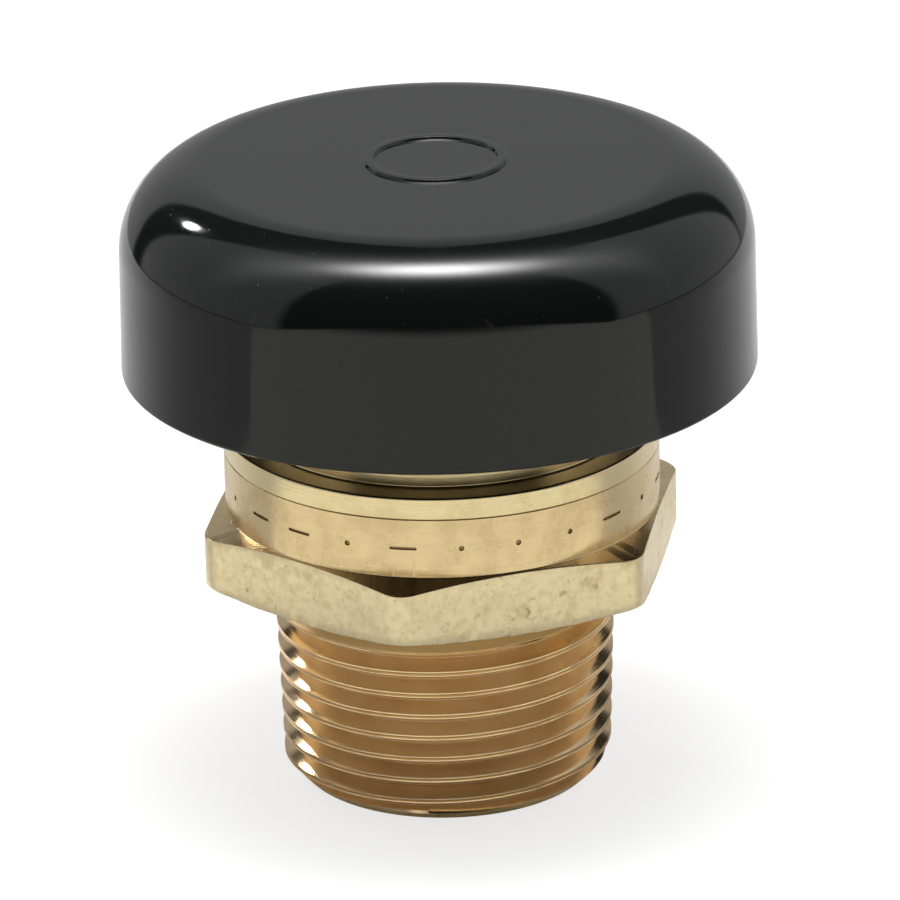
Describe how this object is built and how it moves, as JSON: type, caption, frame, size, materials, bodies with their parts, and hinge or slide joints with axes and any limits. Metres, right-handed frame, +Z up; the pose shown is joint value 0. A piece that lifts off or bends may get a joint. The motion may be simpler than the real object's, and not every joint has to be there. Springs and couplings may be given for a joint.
{
  "type": "vacuum relief valve",
  "caption": "Brass vacuum relief valve that lets air into a water line: hexagon body with a male pipe thread below, and a round black protective cap on top.",
  "frame": {"origin": "centre of the thread's end face, the lowest point of the part", "axes": "+Z up the valve's axis from the inlet thread to the cap; a corner of the hexagon points along -Y and two of its flats face +X and -X"},
  "size_m": [0.0494, 0.0494, 0.0505],
  "materials": {
    "brass": "turned and forged brass, lightly tarnished",
    "black_plastic": "glossy moulded plastic",
    "stainless": "fine turned stainless steel",
    "acetal": "natural white moulded acetal",
    "silicone": "smooth moulded silicone",
    "seal_rubber": "black seal rubber"
  },
  "bodies": {
    "housing": {"valve_body": "brass", "bonnet": "brass", "bonnet_o_ring": "seal_rubber", "guide_bush": "acetal", "lower_guide": "acetal", "guide_ring": "stainless", "return_spring": "stainless"},
    "poppet": {"stem": "stainless", "disc_holder": "brass", "seat_disc": "silicone", "disc_washer": "stainless", "lock_washer": "stainless", "stem_nut": "stainless", "spring_retainer": "stainless", "stem_clip": "stainless"},
    "cap": {"protective_cap": "black_plastic"}
  },
  "joints": [
    {"name": "poppet_slide", "type": "slide", "parent": "housing", "child": "poppet", "axis": [0, 0, -1], "range_m": [0, 0.003], "stiffness_N_per_m": 71, "springref_m": -0.0045, "deforming": ["return_spring"]},
    {"name": "cap_turn", "type": "hinge", "parent": "housing", "child": "cap", "pos_m": [0, 0, 0.035], "axis": [0, 0, 1], "continuous": true}
  ]
}
